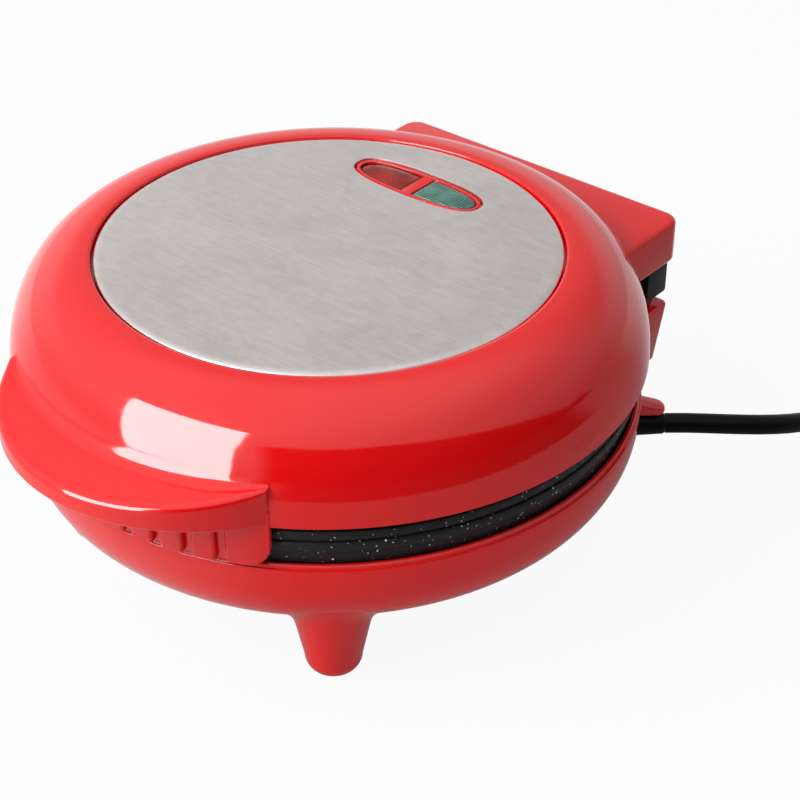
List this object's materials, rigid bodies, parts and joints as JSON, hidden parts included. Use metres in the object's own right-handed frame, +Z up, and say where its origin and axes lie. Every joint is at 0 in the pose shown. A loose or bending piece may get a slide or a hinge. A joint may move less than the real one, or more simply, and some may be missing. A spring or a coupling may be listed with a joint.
{
  "type": "omelette maker",
  "caption": "Round tabletop omelette maker with a hinged lid, half-moon cooking pans, a crescent handle, indicator lamps, feet and a coiled mains cord with its plug.",
  "frame": {"origin": "on the surface that the feet stand on, at the middle of the body with its handle and hinge and without its cord", "axes": "+X to the right as seen from the handle, +Y from the handle to the hinge, +Z up"},
  "size_m": [0.3352, 0.3605, 0.1125],
  "materials": {
    "red_gloss": "glossy red moulded plastic",
    "steel_brushed": "fine brushed steel",
    "cast_coating": "cast metal with a dark speckled non-stick coating",
    "black_plastic": "matte black",
    "black_rubber": "satin black",
    "steel_plain": "plain steel",
    "aluminium": "bright sheet",
    "red_lens": "clear red",
    "green_lens": "clear green",
    "lamp_glass": "clear glass",
    "ceramic": "off-white, matt",
    "brass": "bright"
  },
  "bodies": {
    "base": {"base_shell": "red_gloss", "foot_pad_1": "black_rubber", "foot_pad_2": "black_rubber", "foot_pad_3": "black_rubber", "foot_pad_4": "black_rubber", "lower_plate": "cast_coating", "lower_element": "steel_plain", "lower_reflector": "aluminium", "thermostat": "ceramic", "thermal_fuse": "ceramic", "terminal_block": "ceramic", "cord_clamp": "black_plastic", "clamp_screw_1": "steel_plain", "clamp_screw_2": "steel_plain", "base_screw_1": "steel_plain", "base_screw_2": "steel_plain", "base_screw_3": "steel_plain", "base_screw_4": "steel_plain", "strain_relief": "black_rubber", "hinge_pin_left": "steel_plain", "hinge_pin_right": "steel_plain", "cord_free": "black_rubber", "cord_coil": "black_rubber", "plug_body": "black_rubber", "plug_pin_1": "brass", "plug_pin_2": "brass"},
    "lid": {"lid_shell": "red_gloss", "lid_disc": "steel_brushed", "indicator_bezel": "red_gloss", "lens_red": "red_lens", "lens_green": "green_lens", "lamp_red": "lamp_glass", "lamp_green": "lamp_glass", "lamp_holder": "black_plastic", "upper_plate": "cast_coating", "upper_element": "steel_plain", "upper_reflector": "aluminium", "lid_screw_1": "steel_plain", "lid_screw_2": "steel_plain", "lid_screw_3": "steel_plain", "lid_screw_4": "steel_plain", "hinge_block_left": "black_plastic", "hinge_block_right": "black_plastic"}
  },
  "joints": [
    {"name": "lid_hinge", "type": "hinge", "parent": "base", "child": "lid", "pos_m": [0, 0.11535, 0.0678], "axis": [-1, 0, 0], "range_deg": [0, 95]}
  ]
}
